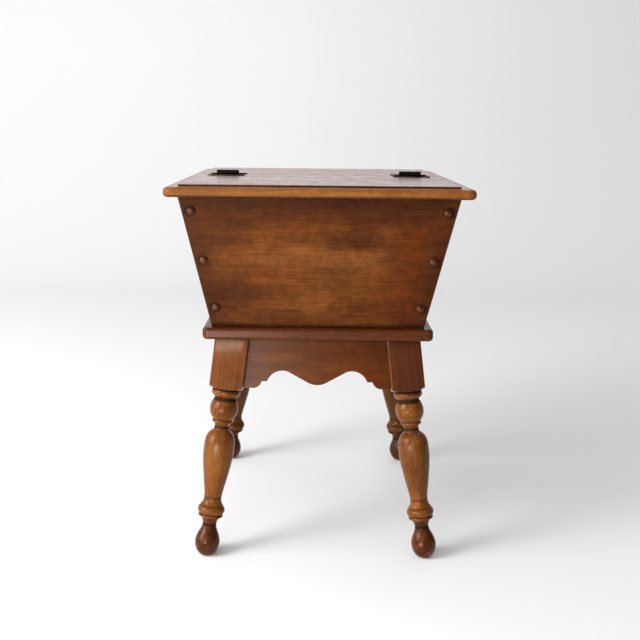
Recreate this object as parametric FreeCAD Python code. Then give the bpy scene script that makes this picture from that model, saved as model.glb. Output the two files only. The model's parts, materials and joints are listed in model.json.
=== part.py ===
import FreeCAD, Part
import math
import os

# Sugar chest: a slope-sided box with a half lid, carried on a splayed stand with turned legs.
# Millimetres, +Z up. The origin is on the floor at the centre, and the narrow front end faces -Y.

# Overall sizes. The chest's height is the stand, the base board, the box and the top together
top_width = 437.0
top_depth = 524.0
box_height = 194.8            # base board to the underside of the top
stand_height = 342.2          # floor to the underside of the base board

# Top boards: a thin moulded ledge all round a raised field, cut in two across the hinge line
ledge_thickness = 14.0
field_rise = 3.2
ledge_width = 20.0
ledge_corner_radius = 12.0
nose_upper_radius = 6.5
nose_lower_radius = 5.5
field_corner_radius = 2.0
lid_depth = 270.0             # front edge of the top to the hinge line
lid_gap = 1.0

# Slope-sided box
top_overhang = 19.2
box_flare_angle = 12.0
panel_thickness = 19.0
panel_edge_radius = 1.2

# Base board
base_thickness = 17.8
base_ledge = 13.3             # base board beyond the foot of the box, all round
base_edge_radius = 5.0
base_corner_radius = 9.0

# Legs: a square block above a turning, leaning outwards both ways
leg_inset = 17.3              # base board edge to the block's outer face
leg_splay_angle = 7.0
block_width = 51.0
block_length = 83.3           # along the leg's axis
block_edge_radius = 3.0
shoulder_length = 6.1         # where the square block is turned down to round

# The turning, from the block down: distance down as a share of the turned length,
# and radius as a share of half the block's width
throat_share = 0.74
collar_bead_shares = [(0.0040, 0.750), (0.0262, 0.852), (0.0522, 0.651)]
ball_bead_shares = [(0.0630, 0.612), (0.1244, 0.841), (0.1890, 0.563)]
ball_lip_shares = [(0.1927, 0.606), (0.2030, 0.606)]
cove_shares = [(0.2030, 0.606), (0.2159, 0.461), (0.2355, 0.424)]
vase_shares = [
    (0.2491, 0.455), (0.2707, 0.722), (0.3023, 0.872), (0.3499, 0.920), (0.4292, 0.884),
    (0.5344, 0.718), (0.6168, 0.568), (0.6560, 0.525), (0.6789, 0.572), (0.6944, 0.667),
]
vase_end_slopes = [(1, 0, 0.5), (1, 0, 0.7)]       # directions in the XZ half-plane, not lengths
upper_groove_shares = [(0.6978, 0.667), (0.7002, 0.612)]
ring_bead_shares = [(0.7010, 0.660), (0.7243, 0.816), (0.7514, 0.660)]
lower_lip_shares = [(0.7524, 0.735), (0.7640, 0.735)]
bulb_shares = [
    (0.7640, 0.675), (0.7826, 0.517), (0.8043, 0.424), (0.8196, 0.415), (0.8440, 0.493),
    (0.8721, 0.630), (0.8985, 0.718), (0.9224, 0.749), (0.9651, 0.647), (0.9978, 0.364),
    (1.0086, 0.0),
]
bulb_end_slopes = [(-1, 0, 0.7), (-1, 0, 0)]

# Aprons: scalloped boards tenoned into the blocks
apron_thickness = 19.0
apron_setback = 14.0          # behind the block's outer face
apron_height = 79.4
arch_centre_share = 0.510     # shares along the half span between the blocks
arch_outer_radius_share = 0.243
arch_inner_radius_share = 0.203
lobe_radius_share = 0.292
notch_width_share = 0.079
end_lobe_mid_share = 0.862
end_lobe_foot_share = 0.972
arch_drop_share = 0.664       # shares of the apron's height
lobe_drop_share = 0.936
notch_drop_share = 0.871
end_lobe_mid_drop_share = 0.962
tenon_thickness = 8.0
tenon_length = 18.0
tenon_top_drop = 10.0
tenon_foot_drop = 60.0
tenon_clearance = 0.15

# Corner blocks behind the legs, glued to the aprons and screwed up into the base board
corner_block_reach = 74.0
corner_block_height = 30.0
corner_screw_inset = 36.0     # apron face to the screw, both ways

# Cleats under the fixed top and battens under the lid
cleat_width = 19.0
cleat_height = 19.0
cleat_end_gap = 12.0
batten_width = 32.0
batten_thickness = 14.0
batten_wall_gap = 36.5        # inner face of a side panel to the batten
batten_front_gap = 30.0       # inner face of the front panel to the batten
batten_rear_gap = 9.0         # batten to the hinge line
batten_edge_radius = 3.0

# Wooden buttons over the end panel screws
button_diameter = 12.4
button_height = 5.0
button_shank_diameter = 9.4
button_shank_length = 6.0
button_edge_distance = 13.7   # panel edge to the button's centre
button_top_distance = 20.6    # down the slope
button_pitch = 73.8
button_count = 3
button_hole_clearance = 0.1

# Wood screws: head diameter, head height, shank diameter, whole length and tapered tip
panel_screw = {"head": 8.2, "head_height": 3.0, "shank": 4.0, "length": 34.0, "tip": 4.0}
base_screw = {"head": 8.2, "head_height": 3.0, "shank": 4.0, "length": 36.0, "tip": 4.0}
corner_screw = {"head": 8.2, "head_height": 3.0, "shank": 4.0, "length": 34.0, "tip": 4.0}
cleat_screw = {"head": 8.2, "head_height": 3.0, "shank": 4.0, "length": 26.0, "tip": 4.0}
batten_screw = {"head": 8.2, "head_height": 3.0, "shank": 4.0, "length": 21.0, "tip": 4.0}
hinge_screw = {"head": 5.6, "head_height": 1.4, "shank": 2.8, "length": 11.0, "tip": 3.0}
screw_tip_share = 0.3         # flat end of the tip, of the shank's radius
screw_sides = 8               # the screws and their holes repeat often, so they have few faces
screw_hole_clearance = 0.1
button_screw_depth = 10.5     # outer face to the top of the screw head

# Butterfly hinges, fixed on the top face across the cut
hinge_edge_distance = 67.5    # side edge of the top to the hinge's middle
hinge_barrel_length = 36.0
hinge_barrel_diameter = 7.6
hinge_barrel_lift = 0.3       # barrel above the boards
hinge_pin_diameter = 3.0
hinge_pin_clearance = 0.05
hinge_knuckle_gap = 0.3
hinge_leaf_thickness = 1.6
hinge_leaf_reach = 26.0
hinge_wing_width = 61.0
wing_waist_share = 0.36       # half width gained at the wing's middle
wing_end_bow_share = 0.13     # bow of the leaf's outer edge
hinge_screw_spread = 34.0
hinge_outer_screw_reach = 18.5
hinge_inner_screw_reach = 10.5

# One overrun for every cut, and how far the flat chords of a turned curve may lie inside it
overrun = 5.0
turning_chord_error = 0.3

# Worked out from the sizes above
flare = math.tan(math.radians(box_flare_angle))
lean = math.tan(math.radians(leg_splay_angle))
box_floor = stand_height + base_thickness
top_underside = box_floor + box_height
ledge_level = top_underside + ledge_thickness
overall_height = ledge_level + field_rise
box_top_half_x = top_width / 2 - top_overhang
box_top_half_y = top_depth / 2 - top_overhang
wall = panel_thickness * math.hypot(1, flare)
base_half_x = box_top_half_x - flare * box_height + base_ledge
base_half_y = box_top_half_y - flare * box_height + base_ledge
leg_x = base_half_x - leg_inset - block_width / 2
leg_y = base_half_y - leg_inset - block_width / 2
hinge_line = lid_depth - top_depth / 2
hinge_x = top_width / 2 - hinge_edge_distance
hinge_axis_level = overall_height + hinge_barrel_lift + hinge_barrel_diameter / 2
corners = {"front_left": (-1, -1), "front_right": (1, -1), "rear_left": (-1, 1), "rear_right": (1, 1)}
sides = {"left": -1, "right": 1}
cleat_names = ["left", "right", "rear"]
up = FreeCAD.Vector(0, 0, 1)
origin = FreeCAD.Vector(0, 0, 0)


def point(x, y, z):
    return FreeCAD.Vector(x, y, z)


def box_between(x0, x1, y0, y1, z0, z1):
    """A box given by its limits."""
    return Part.makeBox(x1 - x0, y1 - y0, z1 - z0, point(x0, y0, z0))


def skinned(rings):
    """A solid with flat faces between rings that have the same number of points."""
    outlines = [rings[0][::-1], rings[-1]]
    for low, high in zip(rings, rings[1:]):
        for near in range(len(low)):
            far = (near + 1) % len(low)
            outlines.append([low[near], low[far], high[far], high[near]])
    faces = [Part.Face(Part.makePolygon(outline + outline[:1])) for outline in outlines]
    return Part.makeSolid(Part.makeShell(faces))


def sloped_solid(limits_at, z_low, z_high):
    """A solid with flat sloping sides, from its limits (x0, x1, y0, y1) at any level."""
    rings = []
    for z in (z_low, z_high):
        x0, x1, y0, y1 = limits_at(z)
        rings.append([point(x0, y0, z), point(x1, y0, z), point(x1, y1, z), point(x0, y1, z)])
    return skinned(rings)


def rounded_board(half_x, half_y, z_low, z_high, corner_radius):
    """A level board with rounded corners in plan."""
    board = box_between(-half_x, half_x, -half_y, half_y, z_low, z_high)
    upright = [edge for edge in board.Edges if edge.BoundBox.ZLength > edge.BoundBox.DiagonalLength / 2]
    return board.makeFillet(corner_radius, upright)


def edges_at_level(shape, z):
    """The edges that lie wholly at one level."""
    near = overrun / 1000
    return [edge for edge in shape.Edges
            if abs(edge.BoundBox.ZMin - z) < near and abs(edge.BoundBox.ZMax - z) < near]


def turned(outline, axis_point, direction):
    """Revolve edges given in the XZ half-plane about Z, then set the solid on an axis, +Z along direction."""
    first = outline[0].valueAt(outline[0].FirstParameter)
    last = outline[-1].valueAt(outline[-1].LastParameter)
    closing = [last, point(0, 0, last.z), point(0, 0, first.z), first]
    edges = list(outline)
    for start, end in zip(closing, closing[1:]):
        if start.distanceToPoint(end) > overrun / 1000:
            edges.append(Part.makeLine(start, end))
    solid = Part.Face(Part.Wire(Part.__sortEdges__(edges))).revolve(origin, up, 360)
    solid.Placement = FreeCAD.Placement(axis_point, FreeCAD.Rotation(up, direction))
    return solid


def straight_run(points):
    """Line edges through points."""
    return [Part.makeLine(start, end) for start, end in zip(points, points[1:])]


def chords(curve):
    """Line edges along a curve, close enough to it for a turned piece that repeats."""
    return straight_run(curve.toShape().discretize(Deflection=turning_chord_error))


def countersunk_screw(size, seat, direction, slack=0.0):
    """A wood screw whose flat head lies flush at the seat, pointing along direction."""
    head = size["head"] / 2 + slack
    shank = size["shank"] / 2 + slack
    end = size["length"] + slack
    sections = [(head, 0), (shank, size["head_height"]), (shank, end - size["tip"]),
                (shank * screw_tip_share, end)]
    rings = []
    for radius, depth in sections:
        turns = [2 * math.pi * step / screw_sides for step in range(screw_sides)]
        rings.append([point(radius * math.cos(turn), radius * math.sin(turn), depth) for turn in turns])
    screw = skinned(rings)
    screw.Placement = FreeCAD.Placement(seat, FreeCAD.Rotation(up, direction))
    return screw


def top_board():
    """The whole top before it is cut across: raised field on a bullnosed ledge."""
    half_x = top_width / 2
    half_y = top_depth / 2
    ledge = rounded_board(half_x, half_y, top_underside, ledge_level, ledge_corner_radius)
    ledge = ledge.makeFillet(nose_upper_radius, edges_at_level(ledge, ledge_level))
    ledge = ledge.makeFillet(nose_lower_radius, edges_at_level(ledge, top_underside))
    field = rounded_board(half_x - ledge_width, half_y - ledge_width,
                          top_underside + ledge_thickness / 2, overall_height, field_corner_radius)
    return ledge.fuse(field).removeSplitter()


def top_half(front):
    """The lid (front) or the fixed rear part of the top, either side of the cut."""
    reach = top_depth + overrun
    if front:
        limits = (-reach, hinge_line - lid_gap / 2)
    else:
        limits = (hinge_line + lid_gap / 2, reach)
    keep = box_between(-reach, reach, *limits, top_underside - overrun, overall_height + overrun)
    return top_board().common(keep)


def box_half_x(z):
    return box_top_half_x - flare * (top_underside - z)


def box_half_y(z):
    return box_top_half_y - flare * (top_underside - z)


def end_panel(front):
    """An end of the box, full width, with the holes for its buttons and screws."""
    sign = -1 if front else 1

    def limits(z):
        outer = sign * box_half_y(z)
        inner = outer - sign * wall
        return (-box_half_x(z), box_half_x(z), min(outer, inner), max(outer, inner))

    panel = sloped_solid(limits, box_floor, top_underside)
    corner_edges = []
    for edge in panel.Edges:
        ends = [vertex.Point for vertex in edge.Vertexes]
        outer = all(abs(sign * p.y - box_half_y(p.z)) < panel_edge_radius for p in ends)
        if outer and abs(ends[0].z - ends[1].z) > panel_thickness:
            corner_edges.append(edge)
    panel = panel.makeFillet(panel_edge_radius, corner_edges)
    radius = button_shank_diameter / 2 + button_hole_clearance
    counterbores = [Part.makeCylinder(radius, button_screw_depth + overrun, seat - inward * overrun, inward)
                    for seat, inward in button_seats(sign)]
    screw_holes = panel_screws(sign, screw_hole_clearance) + base_screws(screw_hole_clearance)
    return panel.cut(counterbores + screw_holes)


def button_seats(sign):
    """Centres of the buttons on an end's outer face, with the direction into the wood."""
    inward = point(0, -sign, flare).normalize()
    seats = []
    for side in sides.values():
        for step in range(button_count):
            slope_drop = button_top_distance + step * button_pitch
            z = top_underside - slope_drop / math.hypot(1, flare)
            x = side * (box_half_x(z) - button_edge_distance * math.hypot(1, flare))
            seats.append((point(x, sign * box_half_y(z), z), inward))
    return seats


def button(seat, inward):
    """A domed plug: the shank sits in the counterbore and the head on the panel's face."""
    head = button_diameter / 2
    shank = button_shank_diameter / 2
    dome_radius = (head ** 2 + button_height ** 2) / (2 * button_height)
    middle = math.asin(head / dome_radius) / 2
    crown = Part.Arc(point(0, 0, -button_height),
                     point(dome_radius * math.sin(middle), 0,
                           dome_radius * (1 - math.cos(middle)) - button_height),
                     point(head, 0, 0))
    rest = straight_run([point(head, 0, 0), point(shank, 0, 0), point(shank, 0, button_shank_length),
                         point(0, 0, button_shank_length)])
    return turned(chords(crown) + rest, seat, inward)


def panel_screws(sign, slack=0.0):
    """The screws under an end's buttons, or with slack their holes."""
    return [countersunk_screw(panel_screw, seat + inward * button_screw_depth, inward, slack)
            for seat, inward in button_seats(sign)]


def side_panel(sign):
    """A side of the box, between the two end panels."""
    def limits(z):
        outer = sign * box_half_x(z)
        inner = outer - sign * wall
        reach = box_half_y(z) - wall
        return (min(outer, inner), max(outer, inner), -reach, reach)

    panel = sloped_solid(limits, box_floor, top_underside)
    slack = screw_hole_clearance
    return panel.cut(panel_screws(-1, slack) + panel_screws(1, slack) + base_screws(slack))


def base_screw_seats():
    """Heads on the base board's underside, under the middle of each panel's lower edge."""
    inset = wall / 2 - flare * base_screw["length"] / 2
    foot_x = box_half_x(box_floor) - inset
    foot_y = box_half_y(box_floor) - inset
    seats = []
    for sign in (-1, 1):
        for step in (-1, 1):
            seats.append(point(step * foot_x / 2, sign * foot_y, stand_height))
            seats.append(point(sign * foot_x, step * foot_y / 2, stand_height))
    return seats


def base_screws(slack=0.0):
    """The screws up through the base board, or with slack their holes."""
    return [countersunk_screw(base_screw, seat, up, slack) for seat in base_screw_seats()]


def base_board():
    """The board under the box, with eased edges and rounded corners."""
    board = rounded_board(base_half_x, base_half_y, stand_height, box_floor, base_corner_radius)
    board = board.makeFillet(base_edge_radius, edges_at_level(board, box_floor))
    board = board.makeFillet(base_edge_radius, edges_at_level(board, stand_height))
    return board.cut(base_screws(screw_hole_clearance) + corner_screws(screw_hole_clearance))


def leg_top(corner):
    return point(corner[0] * leg_x, corner[1] * leg_y, stand_height)


def leg_direction(corner):
    """Down the leg's axis."""
    return point(corner[0] * lean, corner[1] * lean, -1).normalize()


def block_limits(corner, z, grow=0.0):
    shift = lean * (stand_height - z)
    x = corner[0] * (leg_x + shift)
    y = corner[1] * (leg_y + shift)
    half = block_width / 2 + grow
    return (x - half, x + half, y - half, y + half)


def turning_outline(turned_length):
    """The turned part's profile, z down the axis from the end of the block."""
    half = block_width / 2

    def at(pair):
        return point(pair[1] * half, 0, pair[0] * turned_length)

    def bead(shares):
        start, crown, end = [at(pair) for pair in shares]
        return chords(Part.Arc(start, crown, end))

    def flowing(shares, start_slope, end_slope):
        curve = Part.BSplineCurve()
        curve.interpolate(Points=[at(pair) for pair in shares], InitialTangent=point(*start_slope),
                          FinalTangent=point(*end_slope))
        return chords(curve)

    throat = throat_share * half
    sink = -shoulder_length
    pieces = [
        straight_run([point(throat, 0, sink), point(throat, 0, collar_bead_shares[0][0] * turned_length),
                      at(collar_bead_shares[0])]),
        bead(collar_bead_shares),
        straight_run([at(collar_bead_shares[-1]), at(ball_bead_shares[0])]),
        bead(ball_bead_shares),
        straight_run([at(ball_bead_shares[-1])] + [at(pair) for pair in ball_lip_shares]),
        bead(cove_shares),
        straight_run([at(cove_shares[-1]), at(vase_shares[0])]),
        flowing(vase_shares, *vase_end_slopes),
        straight_run([at(vase_shares[-1])] + [at(pair) for pair in upper_groove_shares]
                     + [at(ring_bead_shares[0])]),
        bead(ring_bead_shares),
        straight_run([at(ring_bead_shares[-1])] + [at(pair) for pair in lower_lip_shares]
                     + [at(bulb_shares[0])]),
        flowing(bulb_shares, *bulb_end_slopes),
    ]
    return [edge for piece in pieces for edge in piece]


def leg(corner):
    """One leg: the square block and its turning are a single piece of wood, mortised for two aprons."""
    top = leg_top(corner)
    direction = leg_direction(corner)
    block_foot = top + direction * block_length
    turned_length = top.z / -direction.z - block_length
    block = sloped_solid(lambda z: block_limits(corner, z), block_foot.z - block_width, stand_height)
    long_edges = [edge for edge in block.Edges
                  if abs(edge.Vertexes[0].Point.z - edge.Vertexes[1].Point.z) > block_width]
    block = block.makeFillet(block_edge_radius, long_edges)
    reach = block_width
    envelope = turned(straight_run([point(reach, 0, -block_length - overrun * 2),
                                    point(reach, 0, -shoulder_length * 2),
                                    point(block_width / 2 * math.sqrt(2), 0, -shoulder_length),
                                    point(block_width / 2, 0, 0)]), block_foot, direction)
    turning = turned(turning_outline(turned_length), block_foot, direction)
    floor = box_between(-top_depth, top_depth, -top_depth, top_depth, -block_width, 0)
    return block.common(envelope).fuse(turning).cut([floor] + near_mortises(corner)).removeSplitter()


def apron_frames():
    """Each apron as (half span, half reach, turn about Z), built facing -Y and then turned."""
    return {
        "front_apron": (leg_x, leg_y, 0),
        "right_apron": (leg_y, leg_x, 90),
        "rear_apron": (leg_x, leg_y, 180),
        "left_apron": (leg_y, leg_x, 270),
    }


def tenon(frame, end, slack=0.0):
    """The tongue on one end of an apron, square along the apron."""
    along, across, turn = frame
    thickness = apron_thickness * math.hypot(1, lean)
    tongue = tenon_thickness * math.hypot(1, lean)

    def limits(z):
        shift = lean * (stand_height - z)
        root = along - block_width / 2 + shift
        face = -(across + block_width / 2 - apron_setback + shift)
        start = face + (thickness - tongue) / 2 - slack
        inner = end * (root - tenon_thickness)
        outer = end * (root + tenon_length + slack)
        return (min(inner, outer), max(inner, outer), start, start + tongue + slack * 2)

    foot = stand_height - tenon_foot_drop - slack
    solid = sloped_solid(limits, foot, stand_height - tenon_top_drop + slack)
    return solid.rotate(origin, up, turn)


def near_mortises(corner):
    """Mortises in one leg's block for the two aprons that meet it."""
    middle = leg_top(corner)
    found = []
    for frame in apron_frames().values():
        for end in (-1, 1):
            cutter = tenon(frame, end, tenon_clearance)
            gap = cutter.BoundBox.Center - middle
            if math.hypot(gap.x, gap.y) < block_width:
                found.append(cutter)
    return found


def scallop_cutter(along, across):
    """Everything below the apron's scalloped lower edge, as a prism square to its sloping face."""
    half_span = along - block_width / 2
    face = across + block_width / 2 - apron_setback

    def on_face(x, drop):
        return point(x, -(face + lean * drop), stand_height - drop)

    arch_x = arch_centre_share * half_span
    arch_drop = arch_drop_share * apron_height
    lobe_drop = lobe_drop_share * apron_height
    notch_drop = notch_drop_share * apron_height
    inner_radius = arch_inner_radius_share * half_span
    outer_radius = arch_outer_radius_share * half_span
    lobe_radius = lobe_radius_share * half_span
    centre_fall = (lobe_drop - lobe_radius) - (arch_drop + inner_radius)
    slope = math.atan2(centre_fall, arch_x) + math.asin((inner_radius + lobe_radius)
                                                        / math.hypot(arch_x, centre_fall))
    outer_sweep = math.acos(1 - (notch_drop - arch_drop) / outer_radius)
    notch_inner = arch_x + outer_radius * math.sin(outer_sweep)
    notch_outer = notch_inner + notch_width_share * half_span

    def arch_point(radius, angle):
        return (arch_x + radius * math.sin(angle), arch_drop + radius * (1 - math.cos(angle)))

    def lobe_point(angle):
        return (lobe_radius * math.sin(angle), lobe_drop - lobe_radius * (1 - math.cos(angle)))

    edges = []

    def add_line(start, end):
        edges.append(Part.makeLine(on_face(*start), on_face(*end)))

    def add_arc(start, middle, end):
        edges.append(Part.Arc(on_face(*start), on_face(*middle), on_face(*end)).toShape())

    def mirrored(pair, side):
        return (pair[0] * side, pair[1])

    far_x = half_span + lean * apron_height + block_width
    foot_drop = apron_height + block_width
    end_foot = (end_lobe_foot_share * half_span, apron_height)
    end_mid = (end_lobe_mid_share * half_span, end_lobe_mid_drop_share * apron_height)
    arch_top = (arch_x, arch_drop)
    arch_end = arch_point(inner_radius, -slope)
    for side in (-1, 1):
        add_line(mirrored((far_x, apron_height), side), mirrored(end_foot, side))
        add_arc(mirrored(end_foot, side), mirrored(end_mid, side), mirrored((notch_outer, notch_drop), side))
        add_line(mirrored((notch_outer, notch_drop), side), mirrored((notch_inner, notch_drop), side))
        add_arc(mirrored((notch_inner, notch_drop), side),
                mirrored(arch_point(outer_radius, outer_sweep / 2), side), mirrored(arch_top, side))
        add_arc(mirrored(arch_top, side), mirrored(arch_point(inner_radius, -slope / 2), side),
                mirrored(arch_end, side))
        add_line(mirrored(arch_end, side), mirrored(lobe_point(slope), side))
        add_line(mirrored((far_x, apron_height), side), mirrored((far_x, foot_drop), side))
    add_arc(mirrored(lobe_point(slope), -1), (0, lobe_drop), lobe_point(slope))
    add_line((-far_x, foot_drop), (far_x, foot_drop))
    outward = point(0, -1, lean).normalize()
    outline = Part.Wire(Part.__sortEdges__(edges))
    outline.translate(outward * overrun)
    return Part.Face(outline).extrude(outward * -(apron_thickness + overrun * 2))


def apron(name):
    """A sloping board between two blocks, with a tenon on each end and a scalloped lower edge."""
    frame = apron_frames()[name]
    along, across, turn = frame
    thickness = apron_thickness * math.hypot(1, lean)

    def limits(z):
        shift = lean * (stand_height - z)
        half = along - block_width / 2 + shift
        face = -(across + block_width / 2 - apron_setback + shift)
        return (-half, half, face, face + thickness)

    board = sloped_solid(limits, stand_height - apron_height - overrun, stand_height)
    board = board.cut(scallop_cutter(along, across)).rotate(origin, up, turn)
    return board.fuse([tenon(frame, -1), tenon(frame, 1)]).removeSplitter()


def corner_inner_face(corner):
    """Where the two aprons' inner faces meet at the underside of the base board."""
    back = block_width / 2 - apron_setback - apron_thickness * math.hypot(1, lean)
    return point(corner[0] * (leg_x + back), corner[1] * (leg_y + back), stand_height)


def corner_screw_seat(corner):
    """The screw's head, on the corner block's underside."""
    meet = corner_inner_face(corner)
    direction = leg_direction(corner)
    foot = direction * (corner_block_height / -direction.z)
    return meet + foot + point(-corner[0] * corner_screw_inset, -corner[1] * corner_screw_inset, 0)


def corner_screws(slack=0.0):
    """The screws up through the corner blocks, or with slack their holes."""
    return [countersunk_screw(corner_screw, corner_screw_seat(corner), up, slack)
            for corner in corners.values()]


def corner_block(corner):
    """A three-cornered block between two aprons, notched round the leg and leaning with it."""
    meet = corner_inner_face(corner)
    across = point(-corner[0] * corner_block_reach, 0, 0)
    back = point(0, -corner[1] * corner_block_reach, 0)
    outline = Part.makePolygon([meet, meet + across, meet + back, meet])
    direction = leg_direction(corner)
    prism = Part.Face(outline).extrude(direction * (corner_block_height / -direction.z))
    post = sloped_solid(lambda z: block_limits(corner, z), stand_height - corner_block_height - overrun,
                        stand_height + overrun)
    return prism.cut([post] + corner_screws(screw_hole_clearance))


def cleat_side_limits(sign, z):
    outer = sign * (box_half_x(z) - wall)
    inner = outer - sign * cleat_width
    return (min(outer, inner), max(outer, inner), hinge_line + cleat_end_gap,
            box_half_y(z) - wall - cleat_width - cleat_end_gap)


def cleat_rear_limits(z):
    half = box_half_x(top_underside - cleat_height) - wall - cleat_end_gap
    outer = box_half_y(z) - wall
    return (-half, half, outer - cleat_width, outer)


def cleat_screw_seats(name):
    """Two screws up through each cleat into the fixed top."""
    foot = top_underside - cleat_height
    if name == "rear":
        x0, x1, y0, y1 = cleat_rear_limits(foot)
        return [point(step * x1 / 2, (y0 + y1) / 2, foot) for step in (-1, 1)]
    x0, x1, y0, y1 = cleat_side_limits(sides[name], foot)
    middle = (y0 + y1) / 2
    return [point((x0 + x1) / 2, middle + step * (y1 - y0) / 4, foot) for step in (-1, 1)]


def cleat_screws(slack=0.0):
    """The screws up through the cleats, or with slack their holes."""
    return [countersunk_screw(cleat_screw, seat, up, slack)
            for name in cleat_names for seat in cleat_screw_seats(name)]


def fixed_top_cleat(name):
    """A strip glued inside the box's rim, through which the fixed top is screwed down."""
    foot = top_underside - cleat_height
    if name == "rear":
        strip = sloped_solid(cleat_rear_limits, foot, top_underside)
    else:
        strip = sloped_solid(lambda z: cleat_side_limits(sides[name], z), foot, top_underside)
    return strip.cut(cleat_screws(screw_hole_clearance))


def batten_limits(sign):
    """Limits (x0, x1, y0, y1) of one lid batten, clear of the walls and of the hinge line."""
    foot = top_underside - batten_thickness
    near = sign * (box_half_x(foot) - wall - batten_wall_gap)
    far = near - sign * batten_width
    front = batten_front_gap + wall - box_half_y(foot)
    return (min(near, far), max(near, far), front, hinge_line - batten_rear_gap)


def lid_batten(sign):
    """A flat strip across the grain under the lid, which keeps it flat and centred on the box."""
    strip = box_between(*batten_limits(sign), top_underside - batten_thickness, top_underside)
    strip = strip.makeFillet(batten_edge_radius, edges_at_level(strip, top_underside - batten_thickness))
    return strip.cut(batten_screws(screw_hole_clearance))


def batten_screws(slack=0.0):
    """Two screws up through each batten into the lid, or with slack their holes."""
    screws = []
    for sign in sides.values():
        x0, x1, y0, y1 = batten_limits(sign)
        for step in (-1, 1):
            place = (y0 + y1) / 2 + step * (y1 - y0) / 3
            seat = point((x0 + x1) / 2, place, top_underside - batten_thickness)
            screws.append(countersunk_screw(batten_screw, seat, up, slack))
    return screws


def hinge_screw_points(side, towards):
    """Three screws in one leaf, on the leaf's upper face. Towards is -1 on the lid and 1 behind the cut."""
    x = side * hinge_x
    z = overall_height + hinge_leaf_thickness
    outer = hinge_line + towards * hinge_outer_screw_reach
    inner = hinge_line + towards * hinge_inner_screw_reach
    return [point(x - hinge_screw_spread / 2, outer, z), point(x + hinge_screw_spread / 2, outer, z),
            point(x, inner, z)]


def hinge_screws(towards, slack=0.0):
    """The screws of the two lid leaves or of the two fixed leaves, or with slack their holes."""
    return [countersunk_screw(hinge_screw, seat, -up, slack)
            for side in sides.values() for seat in hinge_screw_points(side, towards)]


def knuckle_spans(towards):
    """Spans along the barrel: the lid's leaf has the two outer knuckles, the fixed leaf the middle one."""
    third = hinge_barrel_length / 3
    gap = hinge_knuckle_gap / 2
    if towards > 0:
        return [(-third / 2 + gap, third / 2 - gap)]
    return [(-hinge_barrel_length / 2, -third / 2 - gap), (third / 2 + gap, hinge_barrel_length / 2)]


def hinge_leaf(side, towards):
    """A butterfly leaf: a waisted plate, widening to two pointed wings, rolled into knuckles at the cut."""
    radius = hinge_barrel_diameter / 2
    clear = radius + hinge_barrel_lift
    root = hinge_barrel_length / 2
    tip = hinge_wing_width / 2
    waist = root + (tip - root) * wing_waist_share
    bow = hinge_leaf_reach * (1 + wing_end_bow_share)
    middle_reach = (clear + hinge_leaf_reach) / 2

    def at(x, reach):
        return point(x, towards * reach, 0)

    edges = [Part.makeLine(at(-root, clear), at(root, clear)),
             Part.Arc(at(-root, clear), at(-waist, middle_reach), at(-tip, hinge_leaf_reach)).toShape(),
             Part.Arc(at(root, clear), at(waist, middle_reach), at(tip, hinge_leaf_reach)).toShape(),
             Part.Arc(at(-tip, hinge_leaf_reach), at(0, bow), at(tip, hinge_leaf_reach)).toShape()]
    plate = Part.Face(Part.Wire(Part.__sortEdges__(edges))).extrude(up * hinge_leaf_thickness)
    axis_height = hinge_barrel_lift + radius
    pieces = []
    for start, end in knuckle_spans(towards):
        pieces.append(Part.makeCylinder(radius, end - start, point(start, 0, axis_height), point(1, 0, 0)))
        near, far = sorted((0, towards * (clear + overrun)))
        pieces.append(box_between(start, end, near, far, 0, hinge_leaf_thickness))
    bore = Part.makeCylinder(hinge_pin_diameter / 2 + hinge_pin_clearance, hinge_barrel_length + overrun * 2,
                             point(-root - overrun, 0, axis_height), point(1, 0, 0))
    leaf = plate.fuse(pieces).removeSplitter().cut(bore)
    leaf.translate(point(side * hinge_x, hinge_line, overall_height))
    return leaf.cut(hinge_screws(towards, screw_hole_clearance))


def hinge_pin(side):
    """The pin, as long as the barrel."""
    start = point(side * hinge_x - hinge_barrel_length / 2, hinge_line, hinge_axis_level)
    return Part.makeCylinder(hinge_pin_diameter / 2, hinge_barrel_length, start, point(1, 0, 0))


def build():
    """Every piece by name. A list of solids is a group of like fasteners."""
    slack = screw_hole_clearance
    pieces = {
        "lid": top_half(True).cut(hinge_screws(-1, slack) + batten_screws(slack)),
        "fixed_top": top_half(False).cut(hinge_screws(1, slack) + cleat_screws(slack)),
        "front_end_panel": end_panel(True),
        "rear_end_panel": end_panel(False),
        "base_board": base_board(),
    }
    for name, sign in sides.items():
        pieces[name + "_side_panel"] = side_panel(sign)
        pieces[name + "_lid_batten"] = lid_batten(sign)
        pieces[name + "_hinge_lid_leaf"] = hinge_leaf(sign, -1)
        pieces[name + "_hinge_fixed_leaf"] = hinge_leaf(sign, 1)
        pieces[name + "_hinge_pin"] = hinge_pin(sign)
    for name in cleat_names:
        pieces["fixed_top_cleat_" + name] = fixed_top_cleat(name)
    for name in apron_frames():
        pieces[name] = apron(name)
    for name, corner in corners.items():
        pieces[name + "_leg"] = leg(corner)
        pieces[name + "_corner_block"] = corner_block(corner)
    for end, sign in (("front", -1), ("rear", 1)):
        pieces[end + "_panel_buttons"] = [button(seat, inward) for seat, inward in button_seats(sign)]
        pieces[end + "_panel_screws"] = panel_screws(sign)
    pieces["base_board_screws"] = base_screws()
    pieces["corner_block_screws"] = corner_screws()
    pieces["fixed_top_screws"] = cleat_screws()
    pieces["lid_batten_screws"] = batten_screws()
    pieces["hinge_lid_screws"] = hinge_screws(-1)
    pieces["hinge_fixed_screws"] = hinge_screws(1)
    return pieces


os.makedirs("parts", exist_ok=True)
for piece_name, shape in build().items():
    solid = Part.makeCompound(shape) if isinstance(shape, list) else shape
    solid.exportStep("parts/" + piece_name + ".step")
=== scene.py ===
import json
import math
from dataclasses import dataclass
from typing import Any, Callable

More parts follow.
